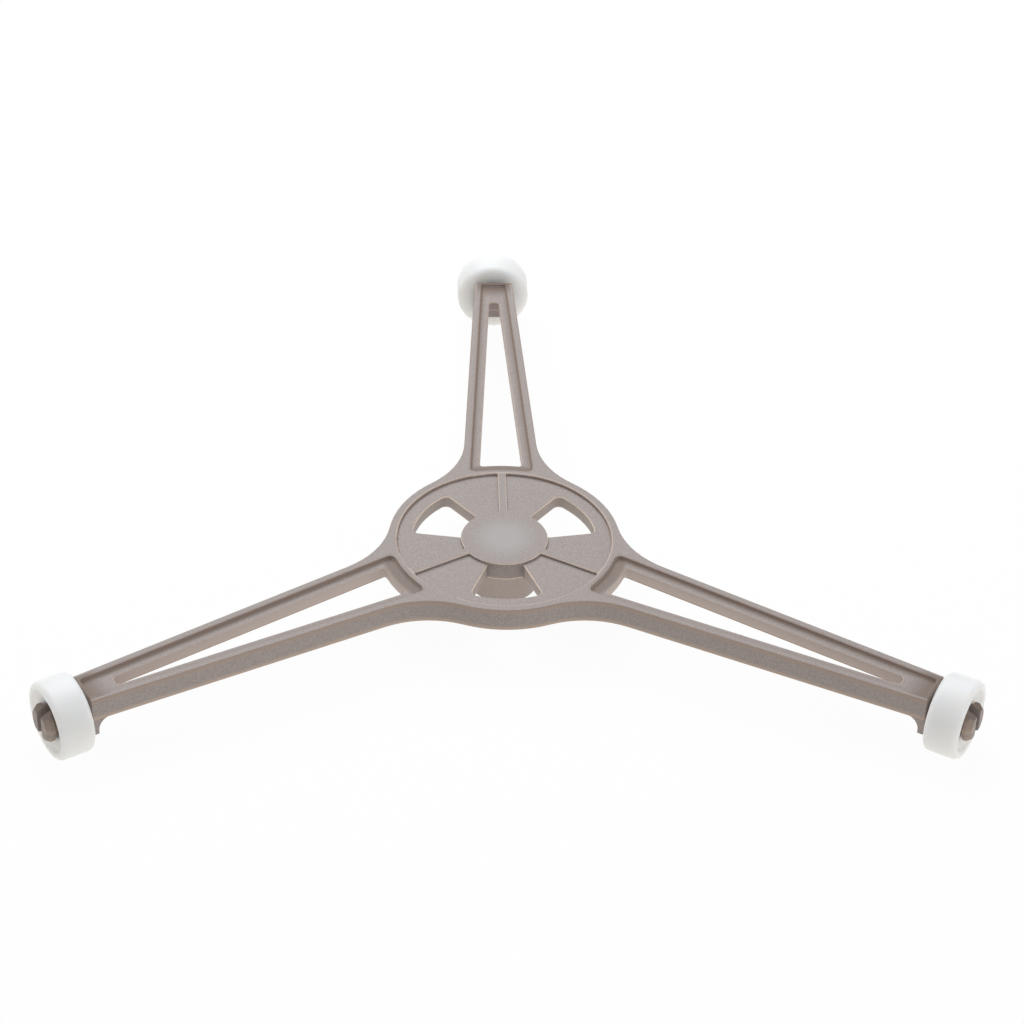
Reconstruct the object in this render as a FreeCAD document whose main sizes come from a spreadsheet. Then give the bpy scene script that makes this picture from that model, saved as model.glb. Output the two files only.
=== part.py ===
# Three-armed roller support for an oven turntable: one moulded frame and three rollers that clip on.
# The frame is a round hub with three tapered arms. Each arm ends in an upright plate that carries a
# split stub axle, and a roller clips over it. The hub's boss takes the drive shaft from below.
# Millimetres, +Z up. The origin is on the hub's axis, in the mouth of the drive socket.
import FreeCAD, Part
import Sketcher
import os

ARM_COUNT = 3
ARM_TURN = 360.0 / ARM_COUNT
ROLLER_NAMES = ("roller_back", "roller_left", "roller_right")
# Two places closer than this are taken as one
SAME = 0.001

SIZES = {
    # The frame's top face above the socket's mouth, and the frame's height below that face
    "top_height": 11.5,
    "frame_height": 5.1,
    # Hub: rim, recessed plate, centre disc, ribs, and the windows that start at the disc's edge
    "recess_radius": 21.8,
    "hub_rim": 1.85,
    "recess_depth": 0.65,
    "hub_underside_depth": 1.6,
    "disc_radius": 8.9,
    "collar_margin": 1.2,
    "collar_underside_depth": 1.0,
    "rib_width": 1.7,
    "rib_corner": 0.4,
    "window_land": 2.9,
    "window_inner_half": 3.6,
    "window_outer_half": 7.2,
    "window_corner": 1.3,
    # Boss below the hub, with a round lead-in and a flatted drive socket above it
    "boss_radius": 6.9,
    "socket_radius": 3.6,
    "lead_in_margin": 0.3,
    "lead_in_depth": 3.0,
    "socket_depth": 8.5,
    "socket_flat": 2.6,
    # Arms: tapered, with a pocket above and below and a long opening through the web
    "arm_reach": 94.5,
    "arm_hub_width": 18.8,
    "arm_end_width": 8.5,
    "arm_root_radius": 19.0,
    "rail_width": 1.6,
    "pocket_depth": 0.85,
    "arm_underside_depth": 1.8,
    "pocket_rim": 1.3,
    "pocket_corner": 1.3,
    "pocket_end_corner": 0.5,
    "pocket_floor_round": 0.5,
    "shelf_width": 1.9,
    "hub_shelf": 2.7,
    "end_shelf": 5.7,
    "opening_corner": 0.8,
    # End plate and the foot that blends it into the arm's underside
    "plate_thickness": 1.2,
    "plate_depth": 8.7,
    "end_lip": 0.75,
    "foot_radius": 2.7,
    "foot_width": 8.2,
    # Stub axle with a split snap head, whose barbs stand out sideways only
    "axle_drop": 4.96,
    "axle_radius": 3.38,
    "barb_radius": 3.9,
    "barb_lead": 0.3,
    "barb_land": 0.7,
    "nose_length": 0.95,
    "nose_radius": 3.1,
    "nose_half_height": 2.35,
    "split_width": 1.8,
    "split_length": 7.0,
    # Rollers, and the clearances that let them turn
    "roller_radius": 8.0,
    "roller_width": 7.05,
    "roller_round": 1.1,
    "dish_radius": 6.4,
    "dish_depth": 1.0,
    "dish_draft": 20.0,
    "bore_lead": 0.35,
    "bore_clearance": 0.08,
    "inner_gap": 0.95,
    "outer_gap": 0.3,
    # Softened edges of the moulding
    "edge_round": 0.3,
    "web_edge_round": 0.4,
}

# Places that several features share, as formulas on the sheet
TOP = "Sizes.top_height"
BOTTOM = "(Sizes.top_height - Sizes.frame_height)"
HUB_RADIUS = "(Sizes.recess_radius + Sizes.hub_rim)"
WINDOW_REACH = "(Sizes.recess_radius - Sizes.window_land)"
HUB_FLOOR = "(Sizes.top_height - Sizes.recess_depth)"
HUB_CEILING = f"({BOTTOM} + Sizes.hub_underside_depth)"
COLLAR_RADIUS = "(Sizes.disc_radius + Sizes.collar_margin)"
COLLAR_BOTTOM = f"({BOTTOM} + Sizes.collar_underside_depth)"
ARM_FLOOR = "(Sizes.top_height - Sizes.pocket_depth)"
ARM_CEILING = f"({BOTTOM} + Sizes.arm_underside_depth)"
AXLE_LEVEL = "(Sizes.top_height - Sizes.axle_drop)"
ARM_SLOPE = "(Sizes.arm_hub_width - Sizes.arm_end_width) / (2 * Sizes.arm_reach)"
PLATE_INNER = "(Sizes.arm_reach - Sizes.plate_thickness)"
FOOT_START = f"({PLATE_INNER} - Sizes.foot_radius)"
POCKET_START = "(Sizes.recess_radius + Sizes.pocket_rim)"
POCKET_END = "(Sizes.arm_reach - Sizes.end_lip)"
ROLLER_INNER = "(Sizes.arm_reach + Sizes.inner_gap)"
ROLLER_OUTER = f"({ROLLER_INNER} + Sizes.roller_width)"
DISH_FLOOR = f"({ROLLER_OUTER} - Sizes.dish_depth)"
SHOULDER = f"({DISH_FLOOR} + Sizes.outer_gap)"
NOSE = f"({SHOULDER} + Sizes.barb_lead + Sizes.barb_land + Sizes.nose_length)"

doc = FreeCAD.newDocument("roller_support")
sheet = doc.addObject("Spreadsheet::Sheet", "Sizes")
for row, (alias, size) in enumerate(SIZES.items(), start=1):
    sheet.set(f"A{row}", alias)
    sheet.set(f"B{row}", str(size))
    sheet.setAlias(f"B{row}", alias)
doc.recompute()


def value(formula):
    return float(sheet.evalExpression(formula))


def place(point):
    return FreeCAD.Vector(value(point[0]), value(point[1]), 0)


def sketch_on(body, name, role, shift_along="0", shift_up="0"):
    # shift_up moves the sketch along its plane's normal, shift_along moves it up its own vertical axis
    sketch = body.newObject("Sketcher::SketchObject", name)
    plane = next(feature for feature in body.Origin.OriginFeatures if feature.Role == role)
    sketch.AttachmentSupport = (plane, [""])
    sketch.MapMode = "FlatFace"
    sketch.setExpression("AttachmentOffset.Base.y", shift_along)
    sketch.setExpression("AttachmentOffset.Base.z", shift_up)
    return sketch


def constrain(sketch, words, formula):
    number = sketch.addConstraint(Sketcher.Constraint(*words, value(formula)))
    sketch.setExpression(f"Constraints[{number}]", formula)


def add_circle(sketch, radius):
    circle = Part.Circle(FreeCAD.Vector(0, 0, 0), FreeCAD.Vector(0, 0, 1), value(radius))
    edge = sketch.addGeometry(circle)
    sketch.addConstraint(Sketcher.Constraint("Coincident", edge, 3, -1, 1))
    constrain(sketch, ("Radius", edge), radius)


def add_outline(sketch, corners, arcs=None):
    # A closed outline through the corners; arcs gives the centre of each side that is round
    arcs = arcs or {}
    points = [place(corner) for corner in corners]
    sides = []
    for index, start in enumerate(points):
        end = points[(index + 1) % len(points)]
        if index in arcs:
            centre = place(arcs[index])
            turns_left = (start - centre).cross(end - centre).z > 0
            first, last = (start, end) if turns_left else (end, start)
            circle = Part.Circle(centre, FreeCAD.Vector(0, 0, 1), (start - centre).Length)
            arc = Part.ArcOfCircle(circle, circle.parameter(first), circle.parameter(last))
            sides.append((sketch.addGeometry(arc), 1, 2) if turns_left else (sketch.addGeometry(arc), 2, 1))
        else:
            sides.append((sketch.addGeometry(Part.LineSegment(start, end)), 1, 2))
    for index, (edge, start_end, far_end) in enumerate(sides):
        next_edge, next_start, next_far = sides[(index + 1) % len(sides)]
        sketch.addConstraint(Sketcher.Constraint("Coincident", edge, far_end, next_edge, next_start))
    for index, (edge, start_end, far_end) in enumerate(sides):
        along, up = True, True
        before = (index - 1) % len(sides)
        if before in arcs:
            # The arc already fixes how far this corner lies from its centre, so one place is enough
            spoke = points[index] - place(arcs[before])
            along = abs(spoke.y) >= abs(spoke.x)
            up = not along
        if along:
            constrain(sketch, ("DistanceX", -1, 1, edge, start_end), corners[index][0])
        if up:
            constrain(sketch, ("DistanceY", -1, 1, edge, start_end), corners[index][1])
    for index, centre in arcs.items():
        constrain(sketch, ("DistanceX", -1, 1, sides[index][0], 3), centre[0])
        constrain(sketch, ("DistanceY", -1, 1, sides[index][0], 3), centre[1])


def rectangle(half_width, near, far):
    return [(f"-{half_width}", near), (half_width, near), (half_width, far), (f"-{half_width}", far)]


def extrude(body, kind, name, sketch, length, reverse=False, both_ways=False):
    # kind is Pad or Pocket
    feature = body.newObject(f"PartDesign::{kind}", name)
    feature.Profile = sketch
    feature.Reversed = reverse
    if both_ways:
        feature.SideType = "Symmetric"
    feature.setExpression("Length", length)
    body.Tip = feature
    doc.recompute()
    return feature


def revolve(body, name, sketch):
    feature = body.newObject("PartDesign::Revolution", name)
    feature.Profile = sketch
    feature.ReferenceAxis = (sketch, ["H_Axis"])
    feature.Angle = 360
    body.Tip = feature
    doc.recompute()
    return feature


def repeat_round_hub(body, name, features):
    pattern = body.newObject("PartDesign::PolarPattern", name)
    pattern.Originals = features
    axis = next(feature for feature in body.Origin.OriginFeatures if feature.Role == "Z_Axis")
    pattern.Axis = (axis, [""])
    pattern.Angle = 360
    pattern.Occurrences = ARM_COUNT
    body.Tip = pattern
    doc.recompute()


def round_edges(body, name, radius, wanted):
    base = body.Tip
    edges = [f"Edge{number}" for number, edge in enumerate(base.Shape.Edges, start=1) if wanted(edge)]
    fillet = body.newObject("PartDesign::Fillet", name)
    fillet.Base = (base, edges)
    fillet.setExpression("Radius", radius)
    body.Tip = fillet
    doc.recompute()


def near(one, other):
    return abs(one - other) < SAME


def spans(shape, low, high):
    # True for an edge or a face that runs from one level to another
    box = shape.BoundBox
    return near(box.ZMin, low) and near(box.ZMax, high)


def distance_out(edge):
    # How far the middle of an edge is from the hub's axis
    middle = edge.valueAt((edge.FirstParameter + edge.LastParameter) / 2)
    return (middle.x ** 2 + middle.y ** 2) ** 0.5


def arm_half_width(distance, inset):
    # Half the arm's width at a distance from the hub's axis, less an inset from its side
    return f"Sizes.arm_hub_width / 2 - {ARM_SLOPE} * {distance} - ({inset})"


def arm_outline(sketch, start, end, inset):
    # An outline inside the arm, from an arc round the hub to a straight end, parallel to the arm's sides
    near_half = f"({arm_half_width(start, inset)})"
    far_half = f"({arm_half_width(end, inset)})"
    near_level = f"sqrt({start} ^ 2 - {near_half} ^ 2)"
    corners = [
        (f"-{near_half}", near_level),
        (near_half, near_level),
        (far_half, end),
        (f"-{far_half}", end),
    ]
    add_outline(sketch, corners, {0: ("0", "0")})


def add_hub_and_arms(body):
    sketch = sketch_on(body, "HubOutline", "XY_Plane", shift_up=BOTTOM)
    add_circle(sketch, HUB_RADIUS)
    extrude(body, "Pad", "Hub", sketch, "Sizes.frame_height")
    sketch = sketch_on(body, "ArmOutline", "XY_Plane", shift_up=BOTTOM)
    corners = [
        ("-Sizes.arm_hub_width / 2", "0"),
        ("Sizes.arm_hub_width / 2", "0"),
        ("Sizes.arm_end_width / 2", "Sizes.arm_reach"),
        ("-Sizes.arm_end_width / 2", "Sizes.arm_reach"),
    ]
    add_outline(sketch, corners)
    arm = extrude(body, "Pad", "Arm", sketch, "Sizes.frame_height")
    repeat_round_hub(body, "Arms", [arm])
    bottom, top, hub = value(BOTTOM), value(TOP), value(HUB_RADIUS)
    round_edges(body, "ArmRoots", "Sizes.arm_root_radius",
                lambda edge: spans(edge, bottom, top) and near(distance_out(edge), hub))


def add_foot(body):
    # The end plate, with a hollow curve from the arm's underside down its inner face
    sketch = sketch_on(body, "FootProfile", "YZ_Plane")
    curve_level = f"({BOTTOM} - Sizes.foot_radius)"
    plate_bottom = "(Sizes.top_height - Sizes.plate_depth)"
    corners = [
        ("Sizes.arm_reach", TOP),
        ("Sizes.arm_reach", plate_bottom),
        (PLATE_INNER, plate_bottom),
        (PLATE_INNER, curve_level),
        (FOOT_START, BOTTOM),
        (FOOT_START, TOP),
    ]
    add_outline(sketch, corners, {3: (FOOT_START, curve_level)})
    return extrude(body, "Pad", "Foot", sketch, "Sizes.foot_width", both_ways=True)


def add_axle(body):
    sketch = sketch_on(body, "AxleProfile", "YZ_Plane", shift_along=AXLE_LEVEL)
    axle_root = "(Sizes.arm_reach - Sizes.plate_thickness / 2)"
    barb = f"({SHOULDER} + Sizes.barb_lead)"
    corners = [
        (axle_root, "0"),
        (axle_root, "Sizes.axle_radius"),
        (SHOULDER, "Sizes.axle_radius"),
        (barb, "Sizes.barb_radius"),
        (f"({barb} + Sizes.barb_land)", "Sizes.barb_radius"),
        (NOSE, "Sizes.nose_radius"),
        (NOSE, "0"),
    ]
    add_outline(sketch, corners)
    axle = revolve(body, "Axle", sketch)

    sketch = sketch_on(body, "SplitOutline", "XY_Plane", shift_up=AXLE_LEVEL)
    past_nose = f"({NOSE} + Sizes.nose_length)"
    add_outline(sketch, rectangle("Sizes.split_width / 2", f"({NOSE} - Sizes.split_length)", past_nose))
    split = extrude(body, "Pocket", "Split", sketch, "3 * Sizes.barb_radius", both_ways=True)

    slopes = []
    for side, name in ((1, "HeadTop"), (-1, "HeadBottom")):
        sketch = sketch_on(body, f"{name}Profile", "YZ_Plane", shift_along=AXLE_LEVEL)
        past_barb = f"{side} * 2 * Sizes.barb_radius"
        corners = [
            (SHOULDER, f"{side} * Sizes.axle_radius"),
            (NOSE, f"{side} * Sizes.nose_half_height"),
            (NOSE, past_barb),
            (SHOULDER, past_barb),
        ]
        add_outline(sketch, corners)
        slopes.append(extrude(body, "Pocket", name, sketch, "3 * Sizes.barb_radius", both_ways=True))
    return [axle, split] + slopes


def add_arm_pockets(body):
    sketch = sketch_on(body, "PocketOutline", "XY_Plane", shift_up=TOP)
    arm_outline(sketch, POCKET_START, POCKET_END, "Sizes.rail_width")
    pocket = extrude(body, "Pocket", "Pocket", sketch, "Sizes.pocket_depth")

    sketch = sketch_on(body, "UndersideOutline", "XY_Plane", shift_up=BOTTOM)
    arm_outline(sketch, POCKET_START, f"({FOOT_START} - Sizes.rail_width)", "Sizes.rail_width")
    depth = "Sizes.arm_underside_depth"
    underside = extrude(body, "Pocket", "UndersidePocket", sketch, depth, reverse=True)

    sketch = sketch_on(body, "OpeningOutline", "XY_Plane", shift_up=TOP)
    opening_start = f"({POCKET_START} + Sizes.hub_shelf)"
    opening_end = f"({PLATE_INNER} - Sizes.end_shelf)"
    arm_outline(sketch, opening_start, opening_end, "Sizes.rail_width + Sizes.shelf_width")
    opening = extrude(body, "Pocket", "Opening", sketch, "Sizes.frame_height")
    return [pocket, underside, opening]


def add_ring_recess(body, name, level, depth, outer_radius, inner_radius, from_below):
    sketch = sketch_on(body, f"{name}Rings", "XY_Plane", shift_up=level)
    add_circle(sketch, outer_radius)
    add_circle(sketch, inner_radius)
    extrude(body, "Pocket", name, sketch, depth, reverse=from_below)


def add_ribs(body):
    # A rib along each arm, from the centre disc across the recess to the hub's rim
    sketch = sketch_on(body, "RibOutline", "XY_Plane", shift_up=TOP)
    rib_end = "(Sizes.recess_radius + Sizes.pocket_rim / 2)"
    add_outline(sketch, rectangle("Sizes.rib_width / 2", "Sizes.disc_radius / 2", rib_end))
    rib = extrude(body, "Pad", "Rib", sketch, "Sizes.recess_depth", reverse=True)
    repeat_round_hub(body, "Ribs", [rib])


def add_hub_faces(body):
    rim, disc, boss = "Sizes.recess_radius", "Sizes.disc_radius", "Sizes.boss_radius"
    under_rim, under_collar = "Sizes.hub_underside_depth", "Sizes.collar_underside_depth"
    add_ring_recess(body, "Recess", TOP, "Sizes.recess_depth", rim, disc, from_below=False)
    add_ribs(body)
    add_ring_recess(body, "Underside", BOTTOM, under_rim, rim, COLLAR_RADIUS, from_below=True)
    add_ring_recess(body, "Collar", BOTTOM, under_collar, COLLAR_RADIUS, boss, from_below=True)


def add_windows(body):
    sketch = sketch_on(body, "WindowOutline", "XY_Plane", shift_up=HUB_FLOOR)
    corners = []
    for side, edge in ((-1, "inner"), (1, "inner"), (1, "outer"), (-1, "outer")):
        reach = "Sizes.disc_radius" if edge == "inner" else WINDOW_REACH
        half = f"Sizes.window_{edge}_half"
        corners.append((f"{side} * {half}", f"-sqrt({reach} ^ 2 - {half} ^ 2)"))
    add_outline(sketch, corners, {0: ("0", "0"), 2: ("0", "0")})
    window = extrude(body, "Pocket", "Window", sketch, "Sizes.frame_height")
    repeat_round_hub(body, "Windows", [window])


def add_boss(body):
    sketch = sketch_on(body, "BossOutline", "XY_Plane")
    add_circle(sketch, "Sizes.boss_radius")
    extrude(body, "Pad", "Boss", sketch, COLLAR_BOTTOM)
    sketch = sketch_on(body, "SocketOutline", "XY_Plane")
    add_circle(sketch, "Sizes.socket_radius")
    extrude(body, "Pocket", "Socket", sketch, "Sizes.socket_depth", reverse=True)
    sketch = sketch_on(body, "LeadInOutline", "XY_Plane")
    add_circle(sketch, "(Sizes.socket_radius + Sizes.lead_in_margin)")
    extrude(body, "Pocket", "LeadIn", sketch, "Sizes.lead_in_depth", reverse=True)
    sketch = sketch_on(body, "DriveFlatOutline", "XY_Plane", shift_up="Sizes.lead_in_depth")
    wall_middle = "(Sizes.socket_radius + Sizes.boss_radius) / 2"
    corners = [
        ("-Sizes.socket_radius", "Sizes.socket_flat"),
        ("Sizes.socket_radius", "Sizes.socket_flat"),
        ("Sizes.socket_radius", wall_middle),
        ("-Sizes.socket_radius", wall_middle),
    ]
    add_outline(sketch, corners)
    extrude(body, "Pad", "DriveFlat", sketch, "Sizes.socket_depth - Sizes.lead_in_depth")


def soften_corners(body):
    # Upright corners first, so that the edges along the faces run smoothly from one to the next
    top, bottom = value(TOP), value(BOTTOM)
    arm_floor, arm_ceiling = value(ARM_FLOOR), value(ARM_CEILING)
    hub_floor, hub_ceiling = value(HUB_FLOOR), value(HUB_CEILING)
    rim, window = value("Sizes.recess_radius"), value(WINDOW_REACH)
    arm_middle = (value(POCKET_START) + value(PLATE_INNER)) / 2
    round_edges(body, "WindowCorners", "Sizes.window_corner",
                lambda edge: spans(edge, hub_ceiling, hub_floor) and near(distance_out(edge), window))
    round_edges(body, "RibCorners", "Sizes.rib_corner",
                lambda edge: spans(edge, hub_floor, top) and distance_out(edge) < rim + SAME)
    for low, high, name in ((arm_floor, top, "Pocket"), (bottom, arm_ceiling, "UndersidePocket")):
        round_edges(body, f"{name}Corners", "Sizes.pocket_corner",
                    lambda edge: spans(edge, low, high) and rim + SAME < distance_out(edge) < arm_middle)
        round_edges(body, f"{name}EndCorners", "Sizes.pocket_end_corner",
                    lambda edge: spans(edge, low, high) and distance_out(edge) > arm_middle)
    round_edges(body, "OpeningCorners", "Sizes.opening_corner",
                lambda edge: spans(edge, arm_ceiling, arm_floor) and distance_out(edge) > rim)


def soften_edges(body):
    top, bottom = value(TOP), value(BOTTOM)
    arm_floor, arm_ceiling = value(ARM_FLOOR), value(ARM_CEILING)
    hub_floor, hub_ceiling, collar_bottom = value(HUB_FLOOR), value(HUB_CEILING), value(COLLAR_BOTTOM)
    rim, disc = value("Sizes.recess_radius"), value("Sizes.disc_radius")

    def borders(edge, low, high):
        faces = body.Tip.Shape.ancestorsOfType(edge, Part.Face)
        return any(spans(face, low, high) for face in faces)

    def is_window_edge(edge):
        on_wall = borders(edge, hub_ceiling, hub_floor) or borders(edge, collar_bottom, hub_floor)
        on_web = any(spans(edge, level, level) for level in (hub_floor, hub_ceiling, collar_bottom))
        below_disc = spans(edge, collar_bottom, collar_bottom) and near(distance_out(edge), disc)
        return on_wall and on_web or below_disc

    def is_opening_edge(edge):
        on_wall = borders(edge, arm_ceiling, arm_floor)
        return on_wall and any(spans(edge, level, level) for level in (arm_floor, arm_ceiling))

    round_edges(body, "WebEdges", "Sizes.web_edge_round",
                lambda edge: is_window_edge(edge) or is_opening_edge(edge))
    round_edges(body, "PocketFloors", "Sizes.pocket_floor_round",
                lambda edge: spans(edge, arm_floor, arm_floor) and borders(edge, arm_floor, top)
                and distance_out(edge) > rim + SAME)
    round_edges(body, "BottomEdges", "Sizes.edge_round",
                lambda edge: spans(edge, bottom, bottom) and borders(edge, bottom, top))
    round_edges(body, "TopEdges", "Sizes.edge_round", lambda edge: spans(edge, top, top))


def make_frame():
    body = doc.addObject("PartDesign::Body", "spider_frame")
    add_hub_and_arms(body)
    details = [add_foot(body)]
    details += add_axle(body)
    details += add_arm_pockets(body)
    repeat_round_hub(body, "ArmDetails", details)
    add_hub_faces(body)
    add_windows(body)
    add_boss(body)
    soften_corners(body)
    soften_edges(body)
    return body


def make_roller(name, turn):
    body = doc.addObject("PartDesign::Body", name)
    sketch = sketch_on(body, f"{name}_profile", "YZ_Plane", shift_along=AXLE_LEVEL)
    bore = "(Sizes.axle_radius + Sizes.bore_clearance)"
    mouth = f"({bore} + Sizes.bore_lead)"
    shoulder = "(Sizes.roller_radius - Sizes.roller_round)"
    inner_turn = f"({ROLLER_INNER} + Sizes.roller_round)"
    outer_turn = f"({ROLLER_OUTER} - Sizes.roller_round)"
    dish_foot = "(Sizes.dish_radius - Sizes.dish_depth * tan(Sizes.dish_draft))"
    corners = [
        (ROLLER_INNER, mouth),
        (ROLLER_INNER, shoulder),
        (inner_turn, "Sizes.roller_radius"),
        (outer_turn, "Sizes.roller_radius"),
        (ROLLER_OUTER, shoulder),
        (ROLLER_OUTER, "Sizes.dish_radius"),
        (DISH_FLOOR, dish_foot),
        (DISH_FLOOR, mouth),
        (f"({DISH_FLOOR} - Sizes.bore_lead)", bore),
        (f"({ROLLER_INNER} + Sizes.bore_lead)", bore),
    ]
    add_outline(sketch, corners, {1: (inner_turn, shoulder), 3: (outer_turn, shoulder)})
    revolve(body, f"{name}_turning", sketch)
    about_hub = FreeCAD.Rotation(FreeCAD.Vector(0, 0, 1), turn)
    body.Placement = FreeCAD.Placement(FreeCAD.Vector(0, 0, 0), about_hub)
    return body


pieces = [make_frame()]
for number, roller_name in enumerate(ROLLER_NAMES):
    pieces.append(make_roller(roller_name, number * ARM_TURN))
doc.recompute()

for item in doc.Objects:
    if "Invalid" in item.State or "Error" in item.State:
        raise RuntimeError(f"{item.Name} did not build: {item.State}")
for piece in pieces:
    if piece.Shape.isNull() or not piece.Shape.isValid():
        raise RuntimeError(f"{piece.Label} has no valid shape")

os.makedirs("parts", exist_ok=True)
for piece in pieces:
    piece.Shape.exportStep(f"parts/{piece.Label}.step")
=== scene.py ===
import math

import bpy
from mathutils import Matrix, Vector


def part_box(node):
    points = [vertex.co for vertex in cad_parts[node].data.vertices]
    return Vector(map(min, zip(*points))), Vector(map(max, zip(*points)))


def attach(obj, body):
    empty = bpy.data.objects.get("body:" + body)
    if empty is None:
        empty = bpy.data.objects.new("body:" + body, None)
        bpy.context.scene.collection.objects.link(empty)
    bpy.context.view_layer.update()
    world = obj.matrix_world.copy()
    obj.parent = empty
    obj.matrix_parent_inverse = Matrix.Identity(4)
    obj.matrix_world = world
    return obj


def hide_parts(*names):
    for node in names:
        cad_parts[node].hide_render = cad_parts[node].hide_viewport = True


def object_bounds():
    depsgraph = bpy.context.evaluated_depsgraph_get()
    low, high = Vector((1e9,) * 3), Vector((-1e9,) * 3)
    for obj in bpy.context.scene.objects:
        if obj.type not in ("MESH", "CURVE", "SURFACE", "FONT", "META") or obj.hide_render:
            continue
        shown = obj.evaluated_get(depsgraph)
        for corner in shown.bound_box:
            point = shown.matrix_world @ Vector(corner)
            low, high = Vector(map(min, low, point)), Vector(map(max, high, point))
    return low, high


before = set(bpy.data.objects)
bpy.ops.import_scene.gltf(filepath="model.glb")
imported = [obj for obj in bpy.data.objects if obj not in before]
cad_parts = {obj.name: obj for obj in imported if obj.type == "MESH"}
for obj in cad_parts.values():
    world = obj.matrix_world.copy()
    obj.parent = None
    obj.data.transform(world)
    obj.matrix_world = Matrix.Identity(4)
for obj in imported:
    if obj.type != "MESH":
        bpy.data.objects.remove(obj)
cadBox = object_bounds()
mm = 0.001  # sizes below are in millimetres
scene = bpy.context.scene
nodeRows = {"length": 10, "across": 220, "down": 260}  # nodes lie in rows, in the order they are made
print("frame loaded:", sorted(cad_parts))


def addNode(tree, kind, **settings):
    row, column = divmod(len(tree.nodes), nodeRows["length"])
    node = tree.nodes.new(kind)
    node.location = (column * nodeRows["across"], -row * nodeRows["down"])
    for name, setting in settings.items():
        setattr(node, name, setting)
    return node


def join(tree, start, end):
    tree.links.new(start, end)


def feedSocket(tree, socket, feed):
    # a feed is a plain number, a colour, or another node's output
    if isinstance(feed, (int, float)):
        socket.default_value = feed
    elif isinstance(feed, tuple):
        socket.default_value = (*feed, 1.0)
    else:
        join(tree, feed, socket)


def newMaterial(name):
    material = bpy.data.materials.new(name)
    material.use_nodes = True
    material.node_tree.nodes.clear()
    return material, material.node_tree


def mathNode(tree, operation, first, second=None, clamp=False):
    node = addNode(tree, "ShaderNodeMath", operation=operation, use_clamp=clamp)
    feedSocket(tree, node.inputs[0], first)
    if second is not None:
        feedSocket(tree, node.inputs[1], second)
    return node.outputs[0]


def both(tree, first, second):
    return mathNode(tree, "MULTIPLY", first, second)


def either(tree, first, second):
    return mathNode(tree, "MAXIMUM", first, second)


def rampNode(tree, feed, span, low=0.0, high=1.0):
    # low up to the span's first end and high from its second; a span may also run downwards
    node = addNode(tree, "ShaderNodeMapRange", interpolation_type="SMOOTHSTEP")
    join(tree, feed, node.inputs["Value"])
    for name, number in zip(("From Min", "From Max", "To Min", "To Max"), (*span, low, high)):
        node.inputs[name].default_value = number
    return node.outputs["Result"]


def between(tree, feed, edges):
    return rampNode(tree, feed, [edge * mm for edge in edges])  # from 0 to 1


def band(tree, feed, rise, fall):
    return both(tree, between(tree, feed, rise), between(tree, feed, fall))


def noiseNode(tree, coordinates, noise):
    node = addNode(tree, "ShaderNodeTexNoise")
    join(tree, coordinates, node.inputs["Vector"])
    for name, number in zip(("Scale", "Detail", "Roughness"), noise):
        node.inputs[name].default_value = number
    return node.outputs["Fac"]


def mixColour(tree, amount, first, second):
    node = addNode(tree, "ShaderNodeMix", data_type="RGBA")
    for number, feed in ((0, amount), (6, first), (7, second)):  # the node's sockets for colours
        feedSocket(tree, node.inputs[number], feed)
    return node.outputs[2]


def mixAmount(tree, amount, first, second):
    node = addNode(tree, "ShaderNodeMix", data_type="FLOAT")
    for number, feed in ((0, amount), (2, first), (3, second)):  # the node's sockets for numbers
        feedSocket(tree, node.inputs[number], feed)
    return node.outputs[0]


def bumpNode(tree, feed, bump):
    strength, height = bump
    node = addNode(tree, "ShaderNodeBump")
    node.inputs["Strength"].default_value = strength
    node.inputs["Distance"].default_value = height * mm
    join(tree, feed, node.inputs["Height"])
    return node.outputs[0]


def addShader(tree, colour, rough, bump, specular):
    shader = addNode(tree, "ShaderNodeBsdfPrincipled")
    shader.inputs["Specular IOR Level"].default_value = specular
    join(tree, colour, shader.inputs["Base Color"])
    join(tree, rough, shader.inputs["Roughness"])
    join(tree, bump, shader.inputs["Normal"])
    output = addNode(tree, "ShaderNodeOutputMaterial")
    join(tree, shader.outputs[0], output.inputs[0])
    return shader


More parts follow.
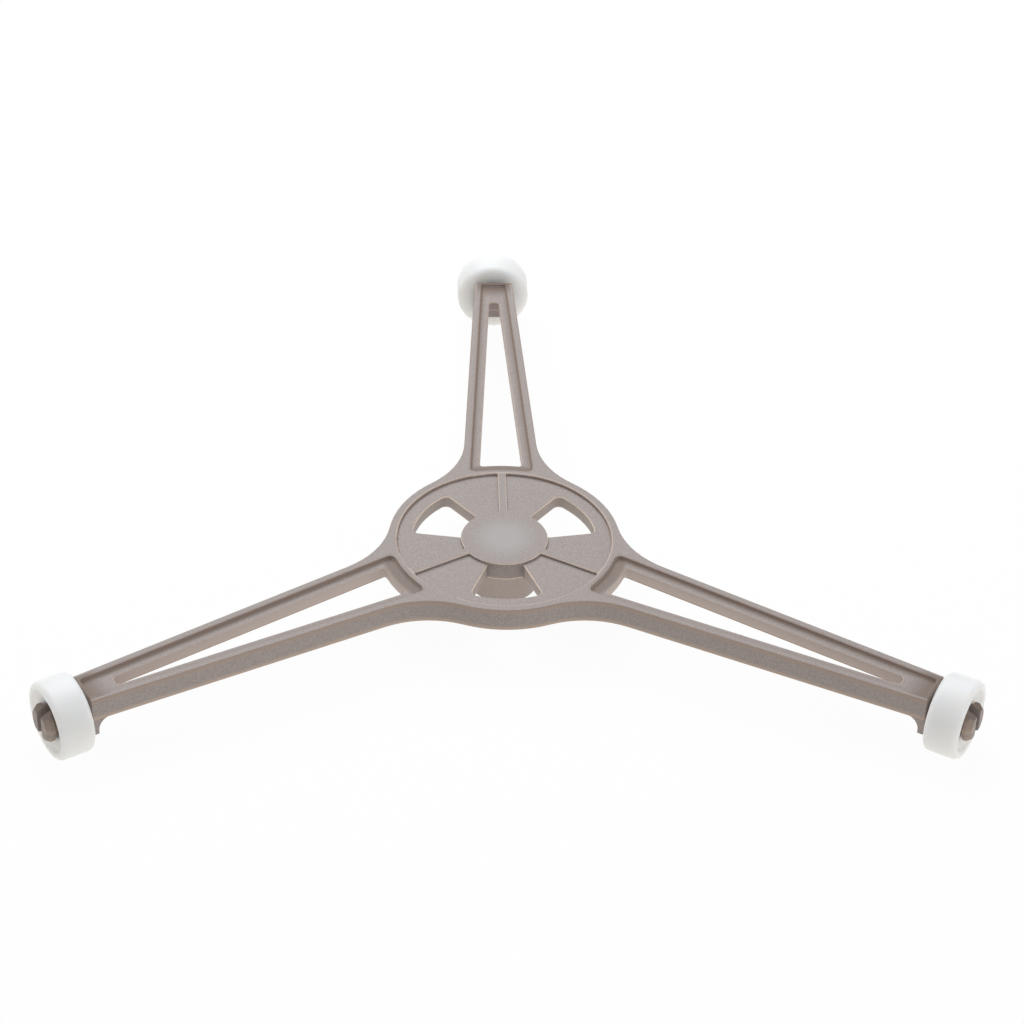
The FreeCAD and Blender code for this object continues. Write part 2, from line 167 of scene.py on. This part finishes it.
# Spider frame: glass-filled taupe plastic, matt with a fine grain, with painted shade browning its
# pockets
spiderLook = {
    "body": (0.350, 0.300, 0.282),
    "brown": (0.270, 0.222, 0.198),    # what the body drifts towards
    "dark": (0.262, 0.220, 0.202),     # of the grain
    "pale": (0.436, 0.379, 0.358),
    "shade": (0.222, 0.170, 0.142),    # painted shade in the pockets, also used to darken the axle heads
    "edge": (0.800, 0.650, 0.535),     # inner edges: partly rubbed wear, partly painted highlight
    "warm": (0.395, 0.293, 0.234),     # outer sides, towards their top edge
    "floorLitLow": (0.520, 0.395, 0.315),  # painted light from the floor on the outer sides, towards their lower edge
    "opening": (0.575, 0.495, 0.455),  # painted light from the floor on the walls of openings and windows, and on the boss
    # painted sheen: the disc's middle is greyer
    "disc": (0.378, 0.360, 0.350),
    "grainNoise": (2600.0, 3.0, 0.65),  # scale, detail and roughness
    "cloudNoise": (95.0, 4.0, 0.6),
    "driftSpan": (0.42, 0.75),
    "speckleSpan": (0.28, 0.72),
    "edgeWearHighlightSpan": (0.3, 0.6),
    "roughSpan": (0.3, 0.7),
    "roughness": (0.46, 0.62),
    "discSmoother": 0.10,
    "grainBump": (0.35, 0.03),         # strength, and height in millimetres
    "specular": 0.45,
    "armTurns": (90, 210, 330),        # degrees
    "armHalfWidth": (9.4, 0.0545),     # at the hub's axis, and what is lost with each millimetre out
    # where each finish starts and where it is full, in millimetres
    "pocketSide": (0.5, 0.75),         # in from the arm's side
    "pocketRim": (0.75, 1.6),
    "pocketFloor": (3.2, 1.7),
    "pocketLevel": (11.35, 11.15),     # height
    "pocketStart": (22.2, 22.8),       # out along the arm
    "pocketEnd": (86.5, 93.0),
    "pocketHub": (26.3, 24.9),         # from the hub's axis
    "openingInset": (2.2, 2.8),
    "openingStart": (24.0, 25.0),
    "openingEnd": (87.75, 86.9),
    "windowReach": (9.5, 10.0),
    "windowLevel": (10.80, 10.70),
    "bossReach": (7.4, 7.2),
    "bossLevel": (7.40, 7.20),
    "innerReach": (21.4, 21.0),
    "innerInset": (1.9, 2.3),
    "recessLine": ((21.70, 21.85), (22.25, 22.05)),
    "recessLevel": (11.3, 11.45),
    "upperBand": (10.1, 11.2),
    "lowerBand": ((6.25, 6.40), (7.80, 6.70)),
    "axleStart": (95.5, 96.0),
    "discReach": (7.565, 2.225),
    "discLevel": (11.2, 11.4),
    # the same by how level a face is, from 0 on an upright face to 1 on a flat one
    "slopeRise": (0.12, 0.40),
    "slopeFall": (0.97, 0.80),
    "pocketFlat": (0.3, 0.9),
    "openingUpright": (0.9, 0.5),
    "hubUpright": (0.6, 0.3),
    "sideUpright": (0.3, 0.1),
    # how much of each finish shows
    "brownShare": 0.30,
    "grainShare": 0.75,
    "rimShare": 0.25,
    "floorShare": 0.65,
    "pocketWallShare": 0.25,
    "windowShare": 0.4,
    "bossShare": 0.45,
    "bandShare": 0.85,
    "edgeWearHighlightShare": 0.65,               # at the least
    "armEdgeShare": 0.55,
    "recessShare": 0.35,
    "axleShare": 0.3,
    "discShare": 0.8,
}


def findSpot(tree, coords, look):
    # height, and distance from the hub's axis
    place = coords.outputs["Object"]
    spot = addNode(tree, "ShaderNodeSeparateXYZ")
    join(tree, place, spot.inputs[0])
    flat = addNode(tree, "ShaderNodeCombineXYZ")
    join(tree, spot.outputs["X"], flat.inputs["X"])
    join(tree, spot.outputs["Y"], flat.inputs["Y"])
    length = addNode(tree, "ShaderNodeVectorMath", operation="LENGTH")
    join(tree, flat.outputs[0], length.inputs[0])
    reach = length.outputs["Value"]

    # distance out along the nearest arm, and in from that arm's side
    outs = []
    for degrees in look["armTurns"]:
        turn = math.radians(degrees)
        arm = addNode(tree, "ShaderNodeVectorMath", operation="DOT_PRODUCT")
        join(tree, place, arm.inputs[0])
        arm.inputs[1].default_value = (math.cos(turn), math.sin(turn), 0.0)
        outs.append(arm.outputs["Value"])
    along = either(tree, either(tree, outs[0], outs[1]), outs[2])
    square = mathNode(tree, "SUBTRACT", both(tree, reach, reach), both(tree, along, along), clamp=True)
    beside = mathNode(tree, "SQRT", square)
    half, taper = look["armHalfWidth"]
    armSide = mathNode(tree, "ADD", both(tree, along, -taper), half * mm)
    inset = mathNode(tree, "SUBTRACT", armSide, beside)

    # how level the face is
    normal = addNode(tree, "ShaderNodeSeparateXYZ")
    join(tree, coords.outputs["Normal"], normal.inputs[0])
    level = mathNode(tree, "ABSOLUTE", normal.outputs["Z"])
    return {"height": spot.outputs["Z"], "reach": reach, "along": along, "inset": inset, "level": level}


def pocketPaintedShade(tree, spot, look):
    # painted shade on the rim beside each pocket's walls, round its floor, and towards its outer end,
    # where the roller's shadow falls
    rim = both(tree, between(tree, spot["inset"], look["pocketRim"]), look["rimShare"])
    floor = both(tree, between(tree, spot["inset"], look["pocketFloor"]), look["floorShare"])
    floor = either(tree, floor, between(tree, spot["reach"], look["pocketHub"]))
    beside = mixAmount(tree, between(tree, spot["height"], look["pocketLevel"]), rim, floor)
    end = between(tree, spot["along"], look["pocketEnd"])
    share = either(tree, beside, both(tree, end, end))
    share = both(tree, share, between(tree, spot["along"], look["pocketStart"]))
    share = both(tree, share, between(tree, spot["inset"], look["pocketSide"]))
    return both(tree, share, rampNode(tree, spot["level"], look["pocketFlat"], look["pocketWallShare"]))


def openingWalls(tree, spot, look):
    # painted light from the floor on the upright walls of the arms' long openings, but not those at their
    # outer ends
    share = band(tree, spot["along"], look["openingStart"], look["openingEnd"])
    share = both(tree, share, between(tree, spot["inset"], look["openingInset"]))
    return both(tree, share, rampNode(tree, spot["level"], look["openingUpright"]))


def hubWalls(tree, spot, look):
    # painted light from the floor on the walls of the hub's windows, and on the boss below the disc
    walls = band(tree, spot["reach"], look["windowReach"], look["innerReach"])
    walls = both(tree, walls, between(tree, spot["height"], look["windowLevel"]))
    boss = both(tree, between(tree, spot["reach"], look["bossReach"]),
                between(tree, spot["height"], look["bossLevel"]))
    share = either(tree, both(tree, walls, look["windowShare"]), both(tree, boss, look["bossShare"]))
    return both(tree, share, rampNode(tree, spot["level"], look["hubUpright"]))


def warmAndFloorLitBands(tree, spot, outer, sloping, look):
    # the frame's outer sides turn browner towards their top edge, and paler towards their lower one,
    # where the paler band is painted light from the floor
    upper = both(tree, rampNode(tree, spot["level"], look["sideUpright"]),
                 between(tree, spot["height"], look["upperBand"]))
    upper = both(tree, either(tree, upper, sloping), outer)
    lower = both(tree, band(tree, spot["height"], *look["lowerBand"]), outer)
    return both(tree, upper, look["bandShare"]), both(tree, lower, look["bandShare"])


def wornEdgesAndHighlights(tree, spot, inHub, inArm, sloping, cloud, look):
    # partly rubbed wear and partly painted highlight on the inner edges, round windows, ribs and
    # openings, and on the line round the hub's recess
    wornAndLit = rampNode(tree, cloud, look["edgeWearHighlightSpan"], look["edgeWearHighlightShare"])
    wornAndLit = both(tree, wornAndLit, either(tree, inHub, both(tree, inArm, look["armEdgeShare"])))
    line = both(tree, band(tree, spot["reach"], *look["recessLine"]),
                between(tree, spot["height"], look["recessLevel"]))
    return either(tree, both(tree, sloping, wornAndLit), both(tree, line, look["recessShare"]))


def makeSpiderPlastic(look):
    material, tree = newMaterial("taupeGlassFilled")
    coords = addNode(tree, "ShaderNodeTexCoord")
    grain = noiseNode(tree, coords.outputs["Object"], look["grainNoise"])
    cloud = noiseNode(tree, coords.outputs["Object"], look["cloudNoise"])

    # fine dark and pale grain, over a cloudy drift from grey to brown
    drift = rampNode(tree, cloud, look["driftSpan"], 0.0, look["brownShare"])
    colour = mixColour(tree, drift, look["body"], look["brown"])
    speckle = mixColour(tree, rampNode(tree, grain, look["speckleSpan"]), look["dark"], look["pale"])
    colour = mixColour(tree, look["grainShare"], colour, speckle)

    # slopes are mostly rounded edges: warm brown on the outside, paler on the inside from rubbed wear and
    # a painted highlight
    spot = findSpot(tree, coords, look)
    sloping = both(tree, rampNode(tree, spot["level"], look["slopeRise"]),
                   rampNode(tree, spot["level"], look["slopeFall"]))
    inHub = between(tree, spot["reach"], look["innerReach"])
    inArm = between(tree, spot["inset"], look["innerInset"])
    outer = mathNode(tree, "SUBTRACT", 1.0, either(tree, inHub, inArm))
    upper, lower = warmAndFloorLitBands(tree, spot, outer, sloping, look)
    # the paler lower band is painted light from the floor
    colour = mixColour(tree, upper, colour, look["warm"])
    colour = mixColour(tree, lower, colour, look["floorLitLow"])
    edge = wornEdgesAndHighlights(tree, spot, inHub, inArm, sloping, cloud, look)
    colour = mixColour(tree, edge, colour, look["edge"])

    # painted shade in the pockets, and the axle heads darkened with the same colour
    axle = both(tree, between(tree, spot["along"], look["axleStart"]), look["axleShare"])
    paintedShadeAndAxles = either(tree, pocketPaintedShade(tree, spot, look), axle)
    colour = mixColour(tree, paintedShadeAndAxles, colour, look["shade"])

    # the centre disc is smoother towards its middle, and greyer there from a painted sheen
    disc = both(tree, between(tree, spot["reach"], look["discReach"]),
                between(tree, spot["height"], look["discLevel"]))
    colour = mixColour(tree, both(tree, disc, look["discShare"]), colour, look["disc"])
    # painted light from the floor on the opening and window walls, and on the boss
    walls = either(tree, openingWalls(tree, spot, look), hubWalls(tree, spot, look))
    colour = mixColour(tree, walls, colour, look["opening"])

    rough = rampNode(tree, grain, look["roughSpan"], *look["roughness"])
    rough = mathNode(tree, "SUBTRACT", rough, both(tree, disc, look["discSmoother"]))
    addShader(tree, colour, rough, bumpNode(tree, grain, look["grainBump"]), look["specular"])
    return material


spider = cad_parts["spider_frame"]
spider.data.materials.clear()
spider.data.materials.append(makeSpiderPlastic(spiderLook))
print("spider frame finished")


# Rollers: one turned profile, swept round its bore by a node tree and set at the end of each arm
rollers = {
    "tread": 8.0,          # radius, as are rim, dishFoot, bore and mouth
    "width": 7.05,
    "rim": 6.4,
    "dishDepth": 1.0,
    "dishFoot": 6.036,
    "bore": 3.46,
    "mouth": 3.81,
    "lead": 0.35,
    "treadRound": 1.1,
    "rimRound": 0.55,
    "dishRound": 0.40,
    "mouthRound": 0.15,
    "leadRound": 0.12,
    "innerFace": 95.45,    # from the hub's axis
    "axleLevel": 6.54,
    "segments": 160,       # round the bore
    "roundSteps": 7,       # in each corner
    "turns": {"roller_back": ("back_roller", 0.0), "roller_left": ("left_roller", 120.0),
              "roller_right": ("right_roller", 240.0)},
    "white": (0.860, 0.861, 0.854),
    "cream": (0.842, 0.835, 0.814),
    "creamSpan": (0.40, 0.75),
    "creamShare": 0.45,
    "hazeNoise": (140.0, 3.0, 0.55),
    "skinNoise": (1800.0, 2.0, 0.5),
    "skinBump": (0.15, 0.02),
    "roughSpan": (0.3, 0.7),
    "roughness": (0.40, 0.52),
    "specular": 0.45,
    "scatterShare": 0.85,  # of the light that spreads inside the plastic
    "scatterReach": (1.0, 0.9, 0.8),  # of red, green and blue, as shares of the depth
    "scatterDepth": 7.0,
}


def makeRollerPlastic(look):
    material, tree = newMaterial("satinWhite")
    place = addNode(tree, "ShaderNodeTexCoord").outputs["Object"]
    haze = noiseNode(tree, place, look["hazeNoise"])
    skin = noiseNode(tree, place, look["skinNoise"])
    share = rampNode(tree, haze, look["creamSpan"], 0.0, look["creamShare"])
    colour = mixColour(tree, share, look["white"], look["cream"])
    rough = rampNode(tree, haze, look["roughSpan"], *look["roughness"])
    shader = addShader(tree, colour, rough, bumpNode(tree, skin, look["skinBump"]), look["specular"])
    shader.inputs["Subsurface Weight"].default_value = look["scatterShare"]
    shader.inputs["Subsurface Radius"].default_value = look["scatterReach"]
    shader.inputs["Subsurface Scale"].default_value = look["scatterDepth"] * mm
    return material


def makeRollerTree(size):
    tree = bpy.data.node_groups.new("rollerLathe", "GeometryNodeTree")
    face = tree.interface
    face.new_socket("Geometry", in_out="INPUT", socket_type="NodeSocketGeometry")
    for name, kind in (("Bore radius", "NodeSocketFloat"), ("Segments", "NodeSocketInt"),
                       ("Inner face", "NodeSocketFloat"), ("Axle level", "NodeSocketFloat"),
                       ("Turn", "NodeSocketFloat"), ("Finish", "NodeSocketMaterial")):
        face.new_socket(name, in_out="INPUT", socket_type=kind)
    face.new_socket("Geometry", in_out="OUTPUT", socket_type="NodeSocketGeometry")
    start = addNode(tree, "NodeGroupInput")

    # the drawn wire becomes a closed curve, and each corner takes its own round
    outline = addNode(tree, "GeometryNodeMeshToCurve")
    join(tree, start.outputs["Geometry"], outline.inputs["Mesh"])
    cornerRound = addNode(tree, "GeometryNodeInputNamedAttribute", data_type="FLOAT")
    cornerRound.inputs["Name"].default_value = "cornerRound"
    soften = addNode(tree, "GeometryNodeFilletCurve", mode="POLY")
    soften.inputs["Limit Radius"].default_value = True
    soften.inputs["Count"].default_value = size["roundSteps"]
    join(tree, outline.outputs[0], soften.inputs["Curve"])
    join(tree, cornerRound.outputs["Attribute"], soften.inputs["Radius"])

    # swept round a circle as wide as the bore
    circle = addNode(tree, "GeometryNodeCurvePrimitiveCircle", mode="RADIUS")
    join(tree, start.outputs["Segments"], circle.inputs["Resolution"])
    join(tree, start.outputs["Bore radius"], circle.inputs["Radius"])
    sweep = addNode(tree, "GeometryNodeCurveToMesh")
    join(tree, circle.outputs[0], sweep.inputs["Curve"])
    join(tree, soften.outputs[0], sweep.inputs["Profile Curve"])

    # laid on its side at the arm's end, then turned round the hub
    away = addNode(tree, "ShaderNodeCombineXYZ")
    join(tree, start.outputs["Inner face"], away.inputs["Y"])
    join(tree, start.outputs["Axle level"], away.inputs["Z"])
    lay = addNode(tree, "GeometryNodeTransform")
    lay.inputs["Rotation"].default_value = (math.radians(90), 0, 0)
    join(tree, sweep.outputs[0], lay.inputs["Geometry"])
    join(tree, away.outputs[0], lay.inputs["Translation"])
    about = addNode(tree, "ShaderNodeCombineXYZ")
    join(tree, start.outputs["Turn"], about.inputs["Z"])
    turn = addNode(tree, "GeometryNodeTransform")
    join(tree, lay.outputs[0], turn.inputs["Geometry"])
    join(tree, about.outputs[0], turn.inputs["Rotation"])

    smooth = addNode(tree, "GeometryNodeSetShadeSmooth")
    join(tree, turn.outputs[0], smooth.inputs["Geometry"])
    real = addNode(tree, "GeometryNodeRealizeInstances")
    join(tree, smooth.outputs[0], real.inputs[0])
    finish = addNode(tree, "GeometryNodeSetMaterial")
    join(tree, real.outputs[0], finish.inputs["Geometry"])
    join(tree, start.outputs["Finish"], finish.inputs["Material"])
    end = addNode(tree, "NodeGroupOutput")
    join(tree, finish.outputs[0], end.inputs[0])
    return tree


def drawProfile(size):
    # (radius, distance from the inner face, corner round), once round the section
    dishLevel = size["width"] - size["dishDepth"]
    return [
        (size["mouth"], 0.0, size["mouthRound"]),
        (size["tread"], 0.0, size["treadRound"]),
        (size["tread"], size["width"], size["treadRound"]),
        (size["rim"], size["width"], size["rimRound"]),
        (size["dishFoot"], dishLevel, size["dishRound"]),
        (size["mouth"], dishLevel, size["leadRound"]),
        (size["bore"], dishLevel - size["lead"], size["leadRound"]),
        (size["bore"], size["lead"], size["leadRound"]),
    ]


def setInput(modifier, tree, name, setting):
    for item in tree.interface.items_tree:
        if item.item_type == "SOCKET" and item.in_out == "INPUT" and item.name == name:
            modifier[item.identifier] = setting
            return
    raise ValueError("no input named " + name)


def makeRoller(name, degrees, size, tree, material):
    corners = drawProfile(size)
    wire = bpy.data.meshes.new(name + "Wire")
    points = [((radius - size["bore"]) * mm, along * mm, 0.0) for radius, along, _ in corners]
    wire.from_pydata(points, [(i, (i + 1) % len(points)) for i in range(len(points))], [])
    rounds = wire.attributes.new("cornerRound", "FLOAT", "POINT")
    for item, (_, _, cornerRound) in zip(rounds.data, corners):
        item.value = cornerRound * mm
    maker = bpy.data.objects.new(name + "Maker", wire)
    scene.collection.objects.link(maker)
    lathe = maker.modifiers.new("lathe", "NODES")
    lathe.node_group = tree
    setInput(lathe, tree, "Bore radius", size["bore"] * mm)
    setInput(lathe, tree, "Segments", size["segments"])
    setInput(lathe, tree, "Inner face", size["innerFace"] * mm)
    setInput(lathe, tree, "Axle level", size["axleLevel"] * mm)
    setInput(lathe, tree, "Turn", math.radians(degrees))
    setInput(lathe, tree, "Finish", material)
    bpy.context.view_layer.update()
    made = maker.evaluated_get(bpy.context.evaluated_depsgraph_get())
    mesh = bpy.data.meshes.new_from_object(made)
    roller = bpy.data.objects.new(name + "_turned", mesh)
    scene.collection.objects.link(roller)
    bpy.data.objects.remove(maker)
    return roller


rollerTree = makeRollerTree(rollers)
rollerPlastic = makeRollerPlastic(rollers)
for node, (body, degrees) in rollers["turns"].items():
    roller = makeRoller(node, degrees, rollers, rollerTree, rollerPlastic)
    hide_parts(node)
    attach(roller, body)
    low = [min(v.co[i] for v in roller.data.vertices) for i in range(3)]
    high = [max(v.co[i] for v in roller.data.vertices) for i in range(3)]
    turned = [round(x / mm, 2) for x in low + high]
    packed = [round(x / mm, 2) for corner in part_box(node) for x in corner]
    print("roller:", node, turned, packed)


# Floor, sky and lamps: a white floor that takes a faint shadow, under a soft sky
stage = {
    "floorHalf": 4.0,     # metres
    "floorPaint": (0.90, 0.90, 0.90),
    "white": (1.0, 1.0, 1.0),
    "whiteShare": 0.95,   # of the floor that is plain white to the eye
    "glowShare": 0.92,    # of the floor that glows for the light that it sends up
    "glowTint": (1.00, 0.970, 0.915),
    "skySpan": (0.05, 0.75),
    "horizonLight": 0.10,
    "zenithLight": 0.68,
    "skyTint": (0.970, 0.985, 1.000),
    # a wide panel overhead, behind and a little to the left, and a weaker one low on the right
    "lamps": {
        "overheadPanel": {"at": (-0.12, 0.36, 0.54), "aim": (0.0, 0.0, 0.0), "size": 0.62, "watts": 3.05},
        "rightFill": {"at": (0.90, -0.35, 0.18), "aim": (0.0, 0.0, 0.01), "size": 0.50, "watts": 1.7},
    },
}


def blendShaders(tree, amount, first, second, outputKind):
    blend = addNode(tree, "ShaderNodeMixShader")
    join(tree, amount, blend.inputs[0])
    join(tree, first.outputs[0], blend.inputs[1])
    join(tree, second.outputs[0], blend.inputs[2])
    output = addNode(tree, outputKind)
    join(tree, blend.outputs[0], output.inputs[0])


def makeFloorPaint(look):
    material, tree = newMaterial("studioFloorPaint")
    path = addNode(tree, "ShaderNodeLightPath").outputs
    seen = either(tree, path["Is Camera Ray"], path["Is Glossy Ray"])
    seen = either(tree, seen, path["Is Transmission Ray"])
    share = rampNode(tree, seen, (0.0, 1.0), look["glowShare"], look["whiteShare"])
    paint = addNode(tree, "ShaderNodeBsdfDiffuse")
    feedSocket(tree, paint.inputs["Color"], look["floorPaint"])
    glow = addNode(tree, "ShaderNodeEmission")
    join(tree, mixColour(tree, seen, look["glowTint"], look["white"]), glow.inputs["Color"])
    blendShaders(tree, share, paint, glow, "ShaderNodeOutputMaterial")
    return material


def makeFloor(look):
    half = look["floorHalf"]
    corners = [(x * half, y * half, cadBox[0].z) for x, y in ((-1, -1), (1, -1), (1, 1), (-1, 1))]
    mesh = bpy.data.meshes.new("studioFloor")
    mesh.from_pydata(corners, [], [(0, 1, 2, 3)])
    mesh.materials.append(makeFloorPaint(look))
    made = bpy.data.objects.new("studioFloor", mesh)
    scene.collection.objects.link(made)
    return made


def makeSky(look):
    # dim at the horizon and light overhead, and white where the camera sees it
    world = bpy.data.worlds.new("studioSky")
    world.use_nodes = True
    tree = world.node_tree
    tree.nodes.clear()
    direction = addNode(tree, "ShaderNodeSeparateXYZ")
    join(tree, addNode(tree, "ShaderNodeTexCoord").outputs["Generated"], direction.inputs[0])
    light = rampNode(tree, direction.outputs["Z"], look["skySpan"],
                     look["horizonLight"], look["zenithLight"])
    sky = addNode(tree, "ShaderNodeBackground")
    feedSocket(tree, sky.inputs["Color"], look["skyTint"])
    join(tree, light, sky.inputs["Strength"])
    white = addNode(tree, "ShaderNodeBackground")
    feedSocket(tree, white.inputs["Color"], look["white"])
    path = addNode(tree, "ShaderNodeLightPath").outputs
    blendShaders(tree, path["Is Camera Ray"], sky, white, "ShaderNodeOutputWorld")
    return world


def addLamp(name, lamp, tint):
    data = bpy.data.lights.new(name, "AREA")
    data.shape = "SQUARE"
    data.size = lamp["size"]
    data.energy = lamp["watts"]
    data.color = tint
    holder = bpy.data.objects.new(name, data)
    holder.location = lamp["at"]
    aim = Vector(lamp["aim"]) - Vector(lamp["at"])
    holder.rotation_euler = aim.to_track_quat("-Z", "Y").to_euler()
    scene.collection.objects.link(holder)


floor = makeFloor(stage)
scene.world = makeSky(stage)
for name, lamp in stage["lamps"].items():
    addLamp(name, lamp, stage["skyTint"])
print("stage and lamps set")


# Camera: the photograph's own view
shot = {
    "target": (1.786, 8.436, 11.5),
    "distance": 637.19,
    "elevation": 37.4294,  # degrees, as are azimuth and roll
    "azimuth": -2.6953,
    "roll": 1.737,
    "lens": 108.775,
    "sensor": 36.0,
    "clip": (0.01, 20.0),  # metres
}


def addCamera(look):
    data = bpy.data.cameras.new("photoView")
    data.sensor_width = look["sensor"]
    data.lens = look["lens"]
    data.clip_start, data.clip_end = look["clip"]
    camera = bpy.data.objects.new("photoView", data)
    scene.collection.objects.link(camera)
    aim = (Matrix.Rotation(math.radians(look["azimuth"]), 4, "Z")
           @ Matrix.Rotation(math.radians(90 - look["elevation"]), 4, "X")
           @ Matrix.Rotation(math.radians(look["roll"]), 4, "Z"))
    eye = Vector(look["target"]) * mm + aim @ Vector((0, 0, look["distance"] * mm))
    camera.matrix_world = Matrix.Translation(eye) @ aim
    return camera


scene.camera = addCamera(shot)
scene.view_settings.view_transform = "Standard"
print("camera set")
